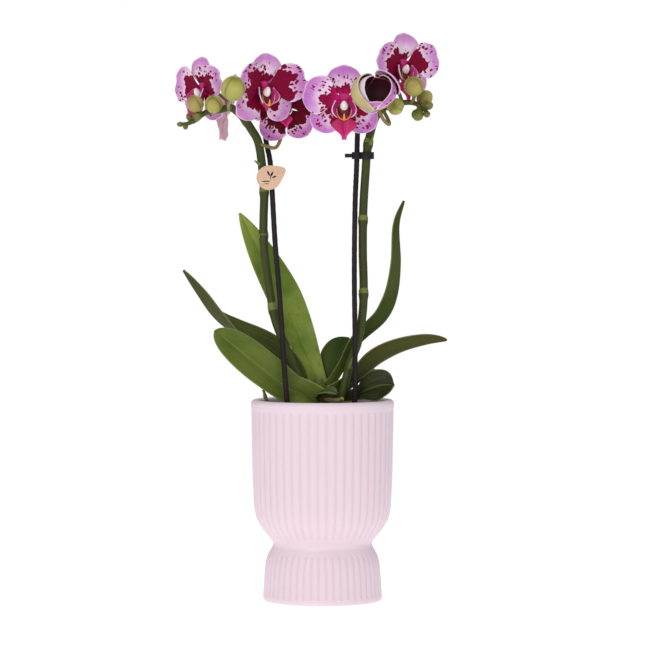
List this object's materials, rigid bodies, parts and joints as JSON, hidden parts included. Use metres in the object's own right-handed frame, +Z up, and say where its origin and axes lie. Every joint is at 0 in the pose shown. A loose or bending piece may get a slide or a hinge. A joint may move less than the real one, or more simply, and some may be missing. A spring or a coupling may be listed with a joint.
{
  "type": "potted orchid",
  "caption": "Moth orchid with two staked flower stems, strap leaves and spotted blooms, in a reeded waisted cover pot with nursery pot and bark inside.",
  "frame": {"origin": "middle of the cover pot's foot, on the surface it stands on", "axes": "+Z up along the pot's axis, +X to the right and -Y to the front, from where the tag and the blooms are seen"},
  "size_m": [0.1983, 0.1393, 0.4085],
  "materials": {
    "bark": "rough pine bark",
    "ceramic": "satin glaze",
    "sepal": "spotted orchid sepal",
    "lip": "orchid lip",
    "petal": "spotted orchid petal",
    "leaf": "waxy leaf",
    "bud": "closed bud",
    "stem": "smooth green stem",
    "black_plastic": "moulded plastic",
    "nursery_plastic": "thin smoked plastic",
    "crown": "living green tissue",
    "tag_card": "matt printed card"
  },
  "bodies": {
    "root": {"bark_substrate": "bark", "ceramic_pot": "ceramic", "flower_a_dorsal_sepal": "sepal", "flower_a_lateral_sepal_left": "sepal", "flower_a_lateral_sepal_right": "sepal", "flower_a_lip": "lip", "flower_a_petal_left": "petal", "flower_a_petal_right": "petal", "flower_b_dorsal_sepal": "sepal", "flower_b_lateral_sepal_left": "sepal", "flower_b_lateral_sepal_right": "sepal", "flower_b_lip": "lip", "flower_b_petal_left": "petal", "flower_b_petal_right": "petal", "flower_c_dorsal_sepal": "sepal", "flower_c_lateral_sepal_left": "sepal", "flower_c_lateral_sepal_right": "sepal", "flower_c_lip": "lip", "flower_c_petal_left": "petal", "flower_c_petal_right": "petal", "flower_d_dorsal_sepal": "sepal", "flower_d_lateral_sepal_left": "sepal", "flower_d_lateral_sepal_right": "sepal", "flower_d_lip": "lip", "flower_d_petal_left": "petal", "flower_d_petal_right": "petal", "flower_e_dorsal_sepal": "sepal", "flower_e_lateral_sepal_left": "sepal", "flower_e_lateral_sepal_right": "sepal", "flower_e_lip": "lip", "flower_e_petal_left": "petal", "flower_e_petal_right": "petal", "flower_f_dorsal_sepal": "sepal", "flower_f_lateral_sepal_left": "sepal", "flower_f_lateral_sepal_right": "sepal", "flower_f_lip": "lip", "flower_f_petal_left": "petal", "flower_f_petal_right": "petal", "leaf_back_middle": "leaf", "leaf_back_right": "leaf", "leaf_front_left": "leaf", "leaf_long_left": "leaf", "leaf_low_front": "leaf", "leaf_low_right": "leaf", "leaf_right": "leaf", "leaf_upright_left": "leaf", "leaf_wavy_right": "leaf", "left_bud_large": "bud", "left_bud_middle": "bud", "left_flower_stem": "stem", "left_support_stake": "black_plastic", "nursery_pot": "nursery_plastic", "opening_bud": "bud", "plant_crown": "crown", "plant_tag": "tag_card", "right_bud_large": "bud", "right_bud_middle": "bud", "right_flower_stem": "stem", "right_support_stake": "black_plastic", "stem_clip": "black_plastic"}
  },
  "joints": []
}
